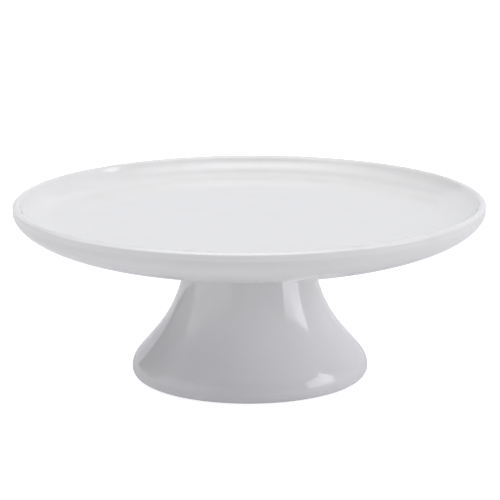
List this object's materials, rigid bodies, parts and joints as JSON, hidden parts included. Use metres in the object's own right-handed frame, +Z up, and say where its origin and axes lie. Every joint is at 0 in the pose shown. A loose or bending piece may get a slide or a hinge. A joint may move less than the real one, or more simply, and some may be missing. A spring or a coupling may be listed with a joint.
{
  "type": "pedestal cake stand",
  "caption": "Glazed white pedestal cake stand: a round dished plate with a thick rolled lip, luted onto a hollow flared foot.",
  "frame": {"origin": "centre of the foot ring on the table", "axes": "+Z up along the axis that the plate and the pedestal are turned about"},
  "size_m": [0.31, 0.31, 0.118],
  "materials": {
    "plate_glaze": "gloss white glaze",
    "pedestal_glaze": "gloss white glaze",
    "slip": "glazed over"
  },
  "bodies": {
    "root": {"plate": "plate_glaze", "pedestal": "pedestal_glaze", "joining_slip": "slip"}
  },
  "joints": []
}
